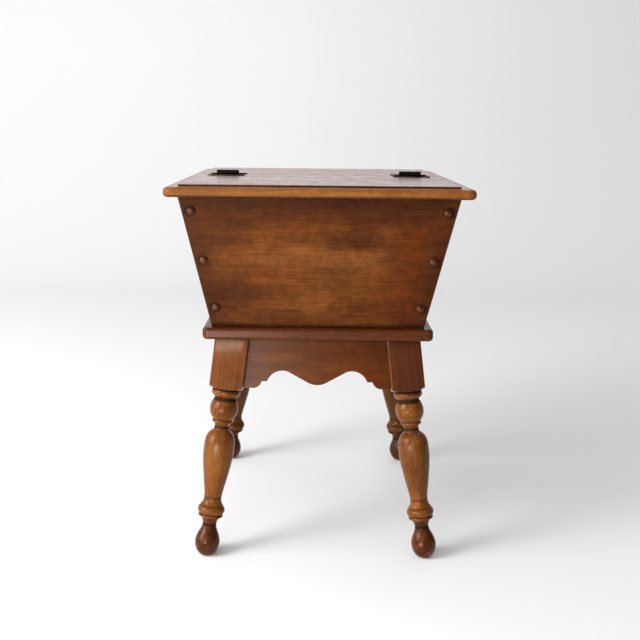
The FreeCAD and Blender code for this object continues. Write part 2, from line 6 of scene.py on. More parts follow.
import bmesh
import bpy
from bpy.props import FloatProperty, FloatVectorProperty, IntProperty, PointerProperty
from bpy.types import Operator, Panel, PropertyGroup
from mathutils import Matrix, Vector

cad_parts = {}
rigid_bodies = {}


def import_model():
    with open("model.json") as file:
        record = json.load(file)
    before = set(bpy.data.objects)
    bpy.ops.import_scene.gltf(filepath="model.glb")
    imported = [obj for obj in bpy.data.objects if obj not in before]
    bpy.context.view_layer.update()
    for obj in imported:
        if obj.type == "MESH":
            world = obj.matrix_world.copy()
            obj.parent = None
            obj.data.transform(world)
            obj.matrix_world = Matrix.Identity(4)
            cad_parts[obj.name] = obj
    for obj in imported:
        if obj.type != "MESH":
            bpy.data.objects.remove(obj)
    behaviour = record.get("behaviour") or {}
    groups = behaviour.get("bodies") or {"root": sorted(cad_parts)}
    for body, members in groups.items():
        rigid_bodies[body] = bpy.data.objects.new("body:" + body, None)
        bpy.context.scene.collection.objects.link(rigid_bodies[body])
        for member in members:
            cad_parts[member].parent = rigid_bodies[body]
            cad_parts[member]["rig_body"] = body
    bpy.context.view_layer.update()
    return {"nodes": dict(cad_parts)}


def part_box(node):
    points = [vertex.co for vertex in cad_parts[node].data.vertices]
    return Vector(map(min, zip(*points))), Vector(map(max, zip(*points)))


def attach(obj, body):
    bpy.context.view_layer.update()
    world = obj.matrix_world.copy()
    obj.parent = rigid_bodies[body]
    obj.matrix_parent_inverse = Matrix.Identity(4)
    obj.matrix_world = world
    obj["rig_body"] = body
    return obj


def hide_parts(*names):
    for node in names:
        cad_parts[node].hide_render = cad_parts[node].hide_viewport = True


bl_info = {
    "name": "Sugar chest",
    "version": (1, 0, 0),
    "blender": (4, 5, 0),
    "location": "View3D > Sidebar > Sugar chest",
    "description": "Dresses the sugar chest: legs, boards, plugs, hinges, wood finishes and the studio",
    "category": "Object",
}

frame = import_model()

CORNERS = {"front_left": (-1, -1), "front_right": (1, -1), "rear_left": (-1, 1), "rear_right": (1, 1)}
UP = Vector((0, 0, 1))
FINISH = "_finish"  # sets the finishes' names apart from the CAD's own materials


# Sizes and colours

def amount(name, default, description, unit="NONE"):
    return FloatProperty(name=name, description=description, default=default, unit=unit, precision=4)


def length(name, default, description):
    return FloatProperty(name=name, description=description, default=default, unit="LENGTH", precision=5)


def power(name, default, description):
    return amount(name, default, description, unit="POWER")


def angle(name, default, description):
    return FloatProperty(name=name, description=description, default=math.radians(default), subtype="ANGLE")


def colour(name, default, description):
    return FloatVectorProperty(name=name, description=description, default=default, subtype="COLOR",
                               size=3, min=0, max=1)


class ChestSizes(PropertyGroup):
    """Sizes of the chest's dressed pieces, in metres."""
    edge_ease: length("Board edge", 0.0007, "Width of the eased edges of the boards")
    block_width: length("Leg block width", 0.0510, "Width of the square block above each turning")
    block_length: length("Leg block length", 0.0833, "Length of the block along the leg")
    leg_splay: angle("Leg splay", 7.0, "How far each leg leans, both ways")
    turning_steps: IntProperty(name="Turning steps", description="Steps round a turned leg", default=72)
    button_width: length("Plug width", 0.0124, "Width of a domed plug")
    button_height: length("Plug height", 0.005, "Height of a plug's dome above the panel")
    button_shank: length("Plug shank", 0.0094, "Width of the plug's hidden shank")
    button_rim: length("Plug rim", 0.0009, "Rounding of the plug's rim")
    plug_drop: length("Plug drop", 0.0206, "From the panel's top down its slope to the first plug's middle")
    plug_pitch: length("Plug pitch", 0.0738, "From one plug's middle to the next down the slope")
    leaf_edge: length("Hinge edge", 0.0003, "Width of the eased edges of the hinge leaves")
    screw_head: length("Hinge screw head", 0.0056, "Width of a hinge screw's head")
    screw_dome: length("Hinge screw dome", 0.0006, "Height of the head's dome above the leaf")
    screw_slot: length("Hinge screw slot", 0.0007, "Width of the driver slot")
    wall: length("Panel thickness", 0.0194, "Thickness of the box panels, level")
    box_flare: angle("Box flare", 12.0, "How far the box's sides lean out")


class ChestColours(PropertyGroup):
    """Colours of the chest's finishes."""
    honey: colour("Honey wood", (0.245, 0.088, 0.019), "Palest stain, on the ledge")
    # Amber is also painted as shade on the ledge towards the right
    amber: colour("Amber wood", (0.163, 0.048, 0.010), "Middle stain")
    # Russet is also painted as shade, darkening the right of the base, the end aprons and the leg blocks
    russet: colour("Russet wood", (0.090, 0.018, 0.0028), "Redder stain on the blocks, the base and the feet")
    # Walnut is also painted as shade: the end panels' top band under the ledge, under the ledge's nose, and
    # on the rear legs
    walnut: colour("Brown wood", (0.038, 0.011, 0.0040), "Dark stain, clouded over the panels")
    # glaze: dark finish in grooves and pores, also painted as shade on the ledge's step, under the base
    # board, at the block tops and along the foot of the box and end panels
    glaze: colour("Glaze", (0.009, 0.003, 0.0020), "Dark finish left in grooves and pores")
    top_pale: colour("Pale top", (0.29, 0.096, 0.040), "Polished field of the top, paler growth")
    top_deep: colour("Deep top", (0.19, 0.054, 0.023), "Polished field of the top, deeper growth")
    side_ledge: colour("Side ledge", (0.21, 0.064, 0.026), "Flat of the ledge along the sides")
    leg_pale: colour("Pale turning", (0.188, 0.062, 0.0110), "Turned legs, paler growth")
    leg_deep: colour("Deep turning", (0.128, 0.038, 0.0062), "Turned legs, deeper growth")
    worn: colour("Worn edge", (0.26, 0.12, 0.040), "Where the stain is rubbed off an edge")
    bare: colour("Bare wood", (0.47, 0.29, 0.14), "Unfinished wood inside the box")
    bronze: colour("Blackened metal", (0.018, 0.015, 0.012), "Hinge leaves and pins")
    rubbed: colour("Rubbed metal", (0.16, 0.11, 0.06), "Where the black is rubbed off the hinges")
    steel: colour("Screw steel", (0.46, 0.45, 0.43), "Hidden wood screws")
    studio: colour("Studio", (0.87, 0.87, 0.875), "Floor and backdrop")


class ChestStudio(PropertyGroup):
    """Camera and lights. Lengths are metres from the floor's centre under the chest."""
    lens: amount("Lens", 51.95, "Focal length on a 36 mm wide sensor", "CAMERA")
    shift: amount("Camera shift", 0.0168, "Sideways shift of the lens, as a share of the picture's width")
    eye_side: length("Camera sideways", -0.0080, "Camera's place to the right of the centre line")
    eye_back: length("Camera back", -1.5425, "Camera's place along the room")
    eye_height: length("Camera height", 0.6581, "Camera's height over the floor")
    tilt: angle("Camera tilt", 12.083, "How far the camera looks down")
    roll: angle("Camera roll", 0.563, "Turn of the camera about its line of sight")
    pan: angle("Camera pan", -0.207, "Turn of the camera to the right")
    pale_side: FloatVectorProperty(name="Pale side", description="Where the room is palest", size=3,
                                   subtype="DIRECTION", default=(-0.84, 0.22, 0.50))
    room_light: amount("Room light", 0.88, "Strength of the light from the pale side of the room")
    room_shade: amount("Room shade", 0.13, "Strength of the light from the dim side of the room")
    room_seen: amount("Room behind", 0.80, "Brightness of the room where it shows past the backdrop")
    window_power: power("Window power", 60.0, "Broad light from the left, a little in front")
    pane_power: power("Window pane power", 18.0, "Smaller light on the same side, which gives the highlights")
    fill_power: power("Fill power", 15.0, "Light from beside the camera")
    low_power: power("Low power", 6.4, "Light off the bright floor in front, on the left")
    wash_power: power("Wash power", 4.5, "Light on the upper backdrop")
    wall_power: power("Wall power", 5.5, "Light on the foot of the backdrop")


def sizes():
    return bpy.context.scene.chest_sizes


def colours():
    return bpy.context.scene.chest_colours


def studio():
    return bpy.context.scene.chest_studio


# Shader nodes

def add(tree, kind, inputs=None, **fields):
    """Adds a ShaderNode of a kind, sets its fields, and fills or joins its inputs."""
    made = tree.nodes.new("ShaderNode" + kind)
    for field, value in fields.items():
        setattr(made, field, value)
    for socket, value in (inputs or {}).items():
        if isinstance(value, bpy.types.NodeSocket):
            tree.links.new(value, made.inputs[socket])
        else:
            made.inputs[socket].default_value = value
    return made


def maths(tree, operation, *values, clamp=False):
    return add(tree, "Math", dict(enumerate(values)), operation=operation, use_clamp=clamp).outputs[0]


def times(tree, mask, *others):
    """The product of several masks and amounts."""
    for other in others:
        mask = maths(tree, "MULTIPLY", mask, other)
    return mask


def vector_maths(tree, operation, *values, result="Vector"):
    return add(tree, "VectorMath", dict(enumerate(values)), operation=operation).outputs[result]


def ramped(tree, value, low, high, to_low=0.0, to_high=1.0):
    """Maps low..high to to_low..to_high with soft ends, and holds it there."""
    ends = {"Value": value, "From Min": low, "From Max": high, "To Min": to_low, "To Max": to_high}
    return add(tree, "MapRange", ends, interpolation_type="SMOOTHSTEP").outputs[0]


def solid(colour):
    """A colour as a socket wants it. A colour that comes from a socket stays as it is."""
    return colour if isinstance(colour, bpy.types.NodeSocket) else (*colour, 1.0)


def mixed(tree, factor, first, second, blend="MIX"):
    inputs = {0: factor, 6: solid(first), 7: solid(second)}
    return add(tree, "Mix", inputs, data_type="RGBA", blend_type=blend).outputs[2]


def grey(tree, value):
    return add(tree, "CombineColor", {0: value, 1: value, 2: value}).outputs[0]


def noise(tree, place, scale, detail=3.0, roughness=0.55, distortion=0.0):
    return add(tree, "TexNoise", {"Vector": place, "Scale": scale, "Detail": detail, "Roughness": roughness,
                                  "Distortion": distortion}).outputs["Fac"]


def carried(tree, name):
    """What the mesh carries under a name."""
    return add(tree, "Attribute", attribute_name=name, attribute_type="GEOMETRY").outputs


def object_spot(tree):
    return add(tree, "TexCoord").outputs["Object"]


def axes(tree, spot=None):
    """X, Y and Z of a place, which is the object's own unless another is given."""
    return add(tree, "SeparateXYZ", {0: spot or object_spot(tree)}).outputs


def new_group(name, inputs, outputs):
    """A shader node group that reads a place and further numbers or vectors, and gives numbers."""
    tree = bpy.data.node_groups.new(name, "ShaderNodeTree")
    for socket, value in {"Place": (0, 0, 0), **inputs}.items():
        kind = "NodeSocketFloat" if isinstance(value, float) else "NodeSocketVector"
        tree.interface.new_socket(socket, in_out="INPUT", socket_type=kind).default_value = value
    for socket in outputs:
        tree.interface.new_socket(socket, in_out="OUTPUT", socket_type="NodeSocketFloat")
    return tree, tree.nodes.new("NodeGroupInput").outputs, tree.nodes.new("NodeGroupOutput").inputs


def placed(tree, group, inputs):
    return add(tree, "Group", inputs, node_tree=bpy.data.node_groups[group]).outputs


def build_grain_group():
    """Close-grained wood, its fibres along X: growth figure, fibres and short dark pores."""
    tree, given, out = new_group("Grain", {"Figure size": 26.0, "Waver": 0.02},
                                 ("Figure", "Fibres", "Pores"))

    def drawn_out(place, share):
        return vector_maths(tree, "MULTIPLY", place, (share, 1, 1))

    bend = add(tree, "TexNoise", {"Vector": drawn_out(given["Place"], 0.35), "Scale": 7.0, "Detail": 2.0})
    centred = vector_maths(tree, "SUBTRACT", bend.outputs["Color"], (0.5, 0.5, 0.5))
    shift = add(tree, "VectorMath", {0: centred, "Scale": given["Waver"]}, operation="SCALE").outputs[0]
    wavy = vector_maths(tree, "ADD", given["Place"], shift)
    pore = noise(tree, drawn_out(wavy, 0.05), 1150.0, 2.0, 0.5)
    tree.links.new(noise(tree, drawn_out(wavy, 0.10), given["Figure size"], 4.0, 0.6, 0.3), out["Figure"])
    tree.links.new(noise(tree, drawn_out(wavy, 0.025), 420.0, 4.0, 0.65), out["Fibres"])
    tree.links.new(ramped(tree, pore, 0.62, 0.74), out["Pores"])


def build_clouds_group():
    """Blotches where the wood took the stain unevenly, a little longer along the grain."""
    tree, given, out = new_group("Stain clouds", {"Size": 14.0}, ("Clouds", "Mottle"))
    stretched = vector_maths(tree, "MULTIPLY", given["Place"], (0.55, 1, 1))
    clouds = noise(tree, stretched, given["Size"], 6.0, 0.66, 0.8)
    mottle = noise(tree, given["Place"], times(tree, given["Size"], 6.0), 3.0, 0.6)
    tree.links.new(ramped(tree, clouds, 0.38, 0.66), out["Clouds"])
    tree.links.new(ramped(tree, mottle, 0.3, 0.72), out["Mottle"])


def build_wear_group():
    """Rubbed edges, broken up so that the wear is patchy. Reads the mark that the eased edges carry."""
    tree, given, out = new_group("Edge wear", {"Amount": 0.6}, ("Wear",))
    patches = ramped(tree, noise(tree, given["Place"], 38.0, 3.0), 0.38, 0.62, 0.25, 1.0)
    tree.links.new(times(tree, carried(tree, "edge")["Fac"], patches, given["Amount"]), out["Wear"])


def build_patch_group():
    """A soft-edged oval mask round a centre, its edge drawn out along X."""
    inputs = {"Centre": (0, 0, 0), "Reach": (1, 1, 1), "Ragged": 0.45}
    tree, given, out = new_group("Soft patch", inputs, ("Mask",))
    away = vector_maths(tree, "SUBTRACT", given["Place"], given["Centre"])
    far = vector_maths(tree, "LENGTH", vector_maths(tree, "DIVIDE", away, given["Reach"]), result="Value")
    streaks = noise(tree, vector_maths(tree, "MULTIPLY", given["Place"], (0.16, 1, 1)), 75.0, 6.0, 0.68)
    swing = times(tree, maths(tree, "SUBTRACT", streaks, 0.5), times(tree, given["Ragged"], 4.0))
    tree.links.new(ramped(tree, maths(tree, "ADD", far, swing), 0.45, 1.35, 1.0, 0.0), out["Mask"])


# Materials

@dataclass
class WoodLook:
    """How one wood is stained, grained and lacquered."""
    pale: tuple  # stain on open growth
    middle: tuple  # stain on close growth
    dark: tuple  # stain in the clouds
    layers: Callable = None  # gives further stains as (mask, colour)
    inside: Callable = None  # gives the mask of the bare wood
    glazed: bool = False  # the mesh carries a mark of its grooves
    figure: float = 26.0  # growth figures in a metre
    waver: float = 0.02  # how far the grain bends
    clouds: float = 14.0  # clouds in a metre
    cloud_depth: float = 0.5
    mottle_depth: float = 0.08
    fibre_depth: float = 0.16
    pore_depth: float = 0.35
    relief: float = 0.00005  # depth of the fibres, in metres
    roughness: tuple = (0.30, 0.42)
    gloss: float = 0.2  # specular level
    shine: tuple = (1.0, 0.84, 0.70)  # colour of the gloss
    coat: Any = 0.0  # weight of the lacquer, or a function that gives its mask
    coat_roughness: float = 0.15
    streaked: bool = False  # the lacquer is thinner in streaks


def new_material(name):
    material = bpy.data.materials.new(name + FINISH)
    material.use_nodes = True
    material.node_tree.nodes.clear()
    return material.node_tree


def shade(tree, inputs):
    """Ends a material with its shader."""
    shader = add(tree, "BsdfPrincipled", inputs)
    add(tree, "OutputMaterial", {"Surface": shader.outputs["BSDF"]})


def toned(colour, factors):
    """A colour with its three parts multiplied, by one factor or by three."""
    factors = factors if isinstance(factors, tuple) else (factors,) * 3
    return [part * factor for part, factor in zip(colour, factors)]


def blended(first, second, share):
    """A colour between two, with this share of the second."""
    return [(1 - share) * one + share * two for one, two in zip(first, second)]


def wood_stain(tree, look, place, grain, blotch):
    """The colour of stained wood."""
    stain = mixed(tree, ramped(tree, grain["Figure"], 0.34, 0.66), look.middle, look.pale)
    for mask, further in (look.layers(tree) if look.layers else []):
        stain = mixed(tree, mask, stain, further)
    stain = mixed(tree, times(tree, blotch["Clouds"], look.cloud_depth), stain, look.dark)
    for texture, low, high, depth in ((grain["Fibres"], 0.30, 0.70, look.fibre_depth),
                                      (blotch["Mottle"], 0.0, 1.0, look.mottle_depth)):
        tone = grey(tree, ramped(tree, texture, low, high, 1 - depth, 1 + depth))
        stain = mixed(tree, 1.0, stain, tone, "MULTIPLY")
    stain = mixed(tree, times(tree, grain["Pores"], look.pore_depth), stain, colours().glaze)
    # The carried mark: dark finish in the turnings' grooves, and dark finish with painted contact shade at
    # the plugs' rims
    if look.glazed:
        uneven = ramped(tree, blotch["Mottle"], 0.0, 1.0, 0.8, 1.0)
        mark = maths(tree, "MULTIPLY", carried(tree, "glaze")["Fac"], uneven, clamp=True)
        stain = mixed(tree, mark, stain, colours().glaze)
    return mixed(tree, placed(tree, "Edge wear", {"Place": place})["Wear"], stain, colours().worn)


def bare_wood(tree, look, grain):
    """The colour of wood without stain."""
    bare = mixed(tree, ramped(tree, grain["Figure"], 0.34, 0.66), toned(colours().bare, 0.72), colours().bare)
    fibres = ramped(tree, grain["Fibres"], 0.30, 0.70, 1 - look.fibre_depth, 1 + look.fibre_depth)
    return mixed(tree, 1.0, bare, grey(tree, fibres), "MULTIPLY")


def wood(name, place_of, **choices):
    """Makes the material of a stained and lacquered wood. Choices are fields of WoodLook."""
    look = WoodLook(**choices)
    tree = new_material(name)
    place = place_of(tree)
    grain = placed(tree, "Grain", {"Place": place, "Figure size": look.figure, "Waver": look.waver})
    blotch = placed(tree, "Stain clouds", {"Place": place, "Size": look.clouds})
    colour_now = wood_stain(tree, look, place, grain, blotch)
    rough = ramped(tree, blotch["Mottle"], 0.0, 1.0, *look.roughness)
    if look.glazed:
        rough = maths(tree, "MAXIMUM", rough, times(tree, carried(tree, "glaze")["Fac"], 0.75))
    if look.inside:
        within = look.inside(tree)
        colour_now = mixed(tree, within, colour_now, bare_wood(tree, look, grain))
        rough = maths(tree, "MAXIMUM", rough, times(tree, within, 0.85))
    coat = look.coat(tree) if callable(look.coat) else look.coat
    if look.streaked:
        coat = ramped(tree, grain["Figure"], 0.35, 0.62, 0.0, coat)
    height = maths(tree, "SUBTRACT", grain["Fibres"], grain["Pores"])
    relief = add(tree, "Bump", {"Height": height, "Distance": look.relief, "Strength": 0.6}).outputs[0]
    shade(tree, {"Base Color": colour_now, "Roughness": rough, "Normal": relief, "IOR": 1.5,
                 "Coat Weight": coat, "Coat Roughness": look.coat_roughness,
                 "Specular IOR Level": look.gloss, "Specular Tint": solid(look.shine)})


def metal(name, dull, bright, roughness, edge=0.15):
    """Makes the material of a metal with a patchy surface that is brighter where it is rubbed."""
    tree = new_material(name)
    place = object_spot(tree)
    patches = noise(tree, place, 130.0, 4.0, 0.6)
    wear = placed(tree, "Edge wear", {"Place": place, "Amount": 0.8})["Wear"]
    rubbed = maths(tree, "MAXIMUM", wear, ramped(tree, patches, 0.60, 0.80, 0.0, 0.5))
    rough = ramped(tree, patches, 0.3, 0.7, roughness - 0.08, roughness + 0.12)
    relief = add(tree, "Bump", {"Height": noise(tree, place, 700.0, 3.0), "Distance": 0.00004}).outputs[0]
    shade(tree, {"Base Color": mixed(tree, rubbed, dull, bright), "Roughness": rough, "Normal": relief,
                 "Metallic": 1.0, "Specular Tint": solid([edge] * 3)})


def along(tree, place, axis):
    """Turns a place so that X runs along the grain."""
    turns = {"X": (0, 0, 0), "Y": (0, 0, math.radians(-90)), "Z": (0, math.radians(90), 0)}
    return add(tree, "Mapping", {"Vector": place, "Rotation": turns[axis]}).outputs[0]


def object_place(axis, shift=(0, 0, 0)):
    """Makes a function that gives Object coordinates, moved, with X along the grain."""
    return lambda tree: along(tree, vector_maths(tree, "ADD", object_spot(tree), shift), axis)


def carried_place(tree):
    """The place that a turned piece's mesh carries, with X along the grain."""
    return along(tree, carried(tree, "grain")["Vector"], "Z")


# Masks and stains on the chest

def graded(tree, axis, low, high, to_low=0.0, to_high=1.0):
    """A mask that goes from to_low to to_high between two places along an axis of the chest."""
    return ramped(tree, axes(tree)[axis], low, high, to_low, to_high)


def off_centre(tree, axis):
    """The distance from the chest's middle along X or Y."""
    return maths(tree, "ABSOLUTE", axes(tree)[axis])


def depth_in_box(tree, axis):
    """How far a point lies inside the box's outer face along X or Y."""
    low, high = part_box("front_end_panel")
    at_top = high.x if axis == "X" else -low.y
    drop = maths(tree, "SUBTRACT", high.z, axes(tree)["Z"])
    half = maths(tree, "SUBTRACT", at_top, times(tree, drop, math.tan(sizes().box_flare)))
    return maths(tree, "SUBTRACT", half, off_centre(tree, axis))


def bare_behind(axis, other):
    """Makes a function that masks the face, square to an axis, with which a panel looks into the box."""
    def inside(tree):
        behind = ramped(tree, depth_in_box(tree, axis), sizes().wall * 0.90, sizes().wall * 0.97)
        return times(tree, behind, ramped(tree, depth_in_box(tree, other), 0.0010, 0.0020))
    return inside


def base_top(tree, low, high):
    """The base board's upper face, from low to high inside the box's outline."""
    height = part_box("base_board")[1].z
    within = [ramped(tree, depth_in_box(tree, axis), low, high) for axis in "XY"]
    return times(tree, *within, graded(tree, "Z", height - 0.0012, height - 0.0004))


def patch(tree, centre, reach, depth, ragged=0.45, mirrored=False):
    """A soft-edged mask round (x, z) on both end panels, half as wide and high as reach says."""
    spot = object_spot(tree)
    if mirrored:
        spot = vector_maths(tree, "ABSOLUTE", spot)
    mask = placed(tree, "Soft patch", {"Place": spot, "Centre": (centre[0], 0, centre[1]),
                                       "Reach": (reach[0], 9, reach[1]), "Ragged": ragged})["Mask"]
    return times(tree, mask, depth)


def end_panel_layers(tree):
    """Where the stain lies paler or darker on an end panel, painted shade under the ledge and along the
    panel's foot, and the dark finish round its plugs.
    """
    palette = colours()
    dark, russet, deep = palette.walnut, palette.russet, palette.glaze
    honey = blended(palette.honey, palette.amber, 0.35)
    low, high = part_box("front_end_panel")
    blotches = [
        ((0.020, 0.466), (0.130, 0.020), 0.60, honey), ((-0.005, 0.402), (0.024, 0.036), 0.30, honey),
        ((0.095, 0.385), (0.075, 0.020), 0.60, russet), ((0.150, 0.455), (0.055, 0.120), 0.85, russet),
        ((0.000, 0.535), (0.170, 0.034), 0.55, russet), ((0.050, 0.486), (0.045, 0.010), 0.55, dark),
        ((0.062, 0.503), (0.030, 0.022), 0.55, dark), ((-0.140, 0.502), (0.045, 0.028), 0.50, dark),
        ((-0.125, 0.412), (0.052, 0.026), 0.58, dark), ((-0.040, 0.376), (0.100, 0.012), 0.50, dark),
        ((0.120, 0.525), (0.060, 0.020), 0.45, dark)]
    layers = [(patch(tree, centre, reach, depth), stain) for centre, reach, depth, stain in blotches]
    # Painted shade under the ledge's overhang, darker towards the panel's top
    top = graded(tree, "Z", high.z - 0.055, high.z - 0.006, 0.0, 0.80)
    side = ramped(tree, depth_in_box(tree, "X"), 0.0, 0.055, 0.70, 0.0)
    # Painted contact shade along the panel's foot, where it stands on the base board
    foot = graded(tree, "Z", low.z, low.z + 0.010, 0.85, 0.0)
    layers += [(maths(tree, "MAXIMUM", top, side), dark), (foot, deep)]
    for number, plug_x in enumerate((0.1842, 0.1687, 0.1532)):
        drop = sizes().plug_drop + sizes().plug_pitch * number
        plug_z = high.z - drop * math.cos(sizes().box_flare)
        layers.append((patch(tree, (plug_x, plug_z), (0.0090, 0.0085), 0.8, 0.1, mirrored=True), deep))
    return layers


def side_ledge(tree):
    """The flat of the ledge along the chest's two sides."""
    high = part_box("lid")[1]
    return times(tree, graded(tree, "Z", high.z - 0.0046, high.z - 0.0036),
                 graded(tree, "Z", high.z - 0.0030, high.z - 0.0028, 1.0, 0.0),
                 ramped(tree, off_centre(tree, "X"), high.x - 0.021, high.x - 0.019))


def ledge_sheen(tree):
    return times(tree, side_ledge(tree), 0.35)


def ledge_layers(tree):
    """The ledge: painted shade deepening it towards the right, its own colour on the side flats, and painted
    shade under the nose and on the step to the field.
    """
    palette = colours()
    low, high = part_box("lid")
    nose_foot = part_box("front_end_panel")[1].z
    nose = maths(tree, "MAXIMUM", *[ramped(tree, off_centre(tree, axis), edge - 0.012, edge - 0.008)
                                    for axis, edge in (("X", high.x), ("Y", -low.y))])
    nose_shade = graded(tree, "Z", nose_foot + 0.0012, nose_foot + 0.0050, 0.85, 0.0)
    # Painted shade towards the right, the side flats' own colour, then painted shade under the nose and on
    # the step
    return [(graded(tree, "X", 0.05, 0.20, 0.0, 0.5), palette.amber),
            (side_ledge(tree), palette.side_ledge),
            (times(tree, nose_shade, nose), palette.walnut),
            (graded(tree, "Z", high.z - 0.0030, high.z - 0.0026), palette.glaze)]


def base_layers(tree):
    """Painted shade that deepens the base towards the right, and dark finish with painted contact shade along
    the foot of the box.
    """
    return [(graded(tree, "X", -0.05, 0.16, 0.0, 0.6), toned(colours().russet, 0.7)),
            (base_top(tree, -0.0045, -0.0005), colours().glaze)]


def box_floor(tree):
    """The part of the base board that shows inside the box."""
    return base_top(tree, 0.0155, 0.0165)


def apron_layers(tree):
    """Painted shade that deepens the apron towards the right, and a painted shadow under the base board."""
    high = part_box("front_apron")[1].z
    return [(graded(tree, "X", -0.08, 0.13, 0.0, 0.9), toned(colours().russet, (0.70, 0.60, 0.30))),
            (graded(tree, "Z", high - 0.012, high - 0.002, 0.0, 0.8), colours().glaze)]


def apron_sheen(tree):
    """The lacquer of the end aprons, thicker towards the left."""
    return graded(tree, "X", -0.14, 0.06, 0.30, 0.0)


def leg_layers(tree):
    """Redder blocks with paler corners, dark rings from the lathe and blotched feet, with painted shade on
    the right-hand blocks and the rear legs, and a painted shadow at the block tops under the base board.
    """
    palette = colours()
    own = vector_maths(tree, "ABSOLUTE", carried(tree, "own")["Vector"])
    across = axes(tree, own)
    half = sizes().block_width / 2
    corner = ramped(tree, maths(tree, "MINIMUM", across["X"], across["Y"]), half - 0.0022, half - 0.0008)
    block = graded(tree, "Z", 0.253, 0.262)
    foot = graded(tree, "Z", 0.058, 0.066, 0.9, 0.0)
    blots = noise(tree, carried_place(tree), 60.0, 5.0, 0.62)
    dark_foot = times(tree, ramped(tree, blots, 0.44, 0.58, 0.85, 0.0),
                      graded(tree, "Z", 0.056, 0.064, 1.0, 0.0))
    pale_foot = times(tree, ramped(tree, blots, 0.56, 0.66, 0.0, 0.8),
                      graded(tree, "Z", 0.018, 0.030, 1.0, 0.0))
    rings = noise(tree, vector_maths(tree, "MULTIPLY", own, (0.04, 0.04, 1)), 210.0, 2.0, 0.5)
    lathe = times(tree, ramped(tree, rings, 0.63, 0.70, 0.0, 0.45), graded(tree, "Z", 0.245, 0.250, 1.0, 0.0))
    # Painted shade on the right-hand blocks
    right = times(tree, graded(tree, "X", -0.05, 0.14, 0.0, 0.88), block)
    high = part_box("front_left_leg")[1].z
    return [(times(tree, block, 0.75), blended(palette.amber, palette.russet, 0.45)),
            (foot, palette.russet), (dark_foot, palette.walnut), (pale_foot, palette.amber),
            (lathe, palette.walnut), (right, toned(palette.russet, (0.56, 0.42, 0.12))),
            (times(tree, corner, block, 0.55), palette.honey),
            # Painted shade on the rear legs, then a painted shadow at the block tops under the base board
            (graded(tree, "Y", 0.0, 0.1, 0.0, 0.5), palette.walnut),
            (graded(tree, "Z", high - 0.008, high - 0.001, 0.0, 0.8), palette.glaze)]


def make_woods():
    """Every wood, named after its slot in the record or after its piece."""
    palette = colours()
    honey, amber, russet, walnut, bare = (palette.honey, palette.amber, palette.russet, palette.walnut,
                                          palette.bare)
    top = dict(pale=palette.top_pale, middle=palette.top_deep, dark=russet, roughness=(0.18, 0.30), gloss=0.5,
               coat_roughness=0.13, streaked=True, cloud_depth=0.70, clouds=9.0, relief=0.00001,
               shine=(1.0, 0.97, 0.95))
    wood("top_wood", object_place("X"), coat=0.32, **top)
    wood("rear_top_wood", object_place("X", (0.4, 0.2, 0)), coat=0.07, **top)
    wood("ledge_wood", object_place("X", (0, 0.3, 0)), pale=toned(honey, 1.15), middle=toned(honey, 0.85),
         dark=russet, gloss=0.13, roughness=(0.24, 0.34), cloud_depth=0.30, fibre_depth=0.22, clouds=18.0,
         layers=ledge_layers, coat=ledge_sheen, coat_roughness=0.12)
    wood("panel_wood", object_place("X", (0.3, 0, 0)), pale=toned(amber, 0.88), middle=toned(amber, 0.62),
         dark=walnut, layers=end_panel_layers, inside=bare_behind("Y", "X"), cloud_depth=0.45, clouds=15.0,
         fibre_depth=0.20, mottle_depth=0.13, roughness=(0.36, 0.46), gloss=0.045)
    wood("side_wood", object_place("Y", (0, 0.2, 0.1)), pale=amber, middle=russet, dark=walnut,
         inside=bare_behind("X", "Y"), clouds=11.0, gloss=0.06, roughness=(0.40, 0.46))
    wood("base_wood", object_place("X", (0, 0, 0.4)), pale=russet, middle=toned(russet, 0.75), dark=walnut,
         cloud_depth=0.35, gloss=0.22, roughness=(0.22, 0.32), pore_depth=0.2, relief=0.00001,
         inside=box_floor, layers=base_layers)
    wood("apron_wood", object_place("X", (0.7, 0, 0)), pale=toned(amber, 0.9), middle=russet, dark=walnut,
         gloss=0.17, layers=apron_layers, coat=apron_sheen, coat_roughness=0.28, shine=(1.0, 0.66, 0.42))
    wood("side_apron_wood", object_place("Y", (0, 0.5, 0)), pale=amber, middle=russet, dark=walnut,
         cloud_depth=0.40, gloss=0.12)
    wood("leg_wood", carried_place, pale=palette.leg_pale, middle=palette.leg_deep, dark=walnut, glazed=True,
         cloud_depth=0.34, clouds=20.0, figure=55.0, waver=0.006, roughness=(0.15, 0.23), gloss=0.19,
         layers=leg_layers, mottle_depth=0.04, fibre_depth=0.24, relief=0.00003, shine=(1.0, 0.80, 0.62))
    wood("button_wood", carried_place, pale=russet, middle=toned(russet, 0.7), dark=walnut, glazed=True,
         figure=160.0, clouds=60.0, gloss=0.25, roughness=(0.18, 0.26))
    wood("inner_wood", object_place("X", (0, 0.8, 0)), pale=bare, middle=toned(bare, 0.7), dark=amber,
         roughness=(0.6, 0.75), cloud_depth=0.2)


def make_metals():
    palette = colours()
    metal("hinge_metal", palette.bronze, palette.rubbed, 0.42)
    metal("hinge_screw_metal", toned(palette.bronze, 1.4), palette.rubbed, 0.36)
    metal("screw_steel", palette.steel, toned(palette.steel, 1.2), 0.30, edge=1.0)


def dress(piece, *names):
    """Gives a piece its finishes, in place of the materials that it has."""
    piece.data.materials.clear()
    for name in names:
        piece.data.materials.append(bpy.data.materials[name + FINISH])


# Mesh work

def add_object(name, data):
    made = bpy.data.objects.new(name, data)
    bpy.context.scene.collection.objects.link(made)
    return made


def mesh_data(name, mesh):
    """Ends a bmesh and gives it as mesh data."""
    data = bpy.data.meshes.new(name)
    mesh.to_mesh(data)
    mesh.free()
    return data


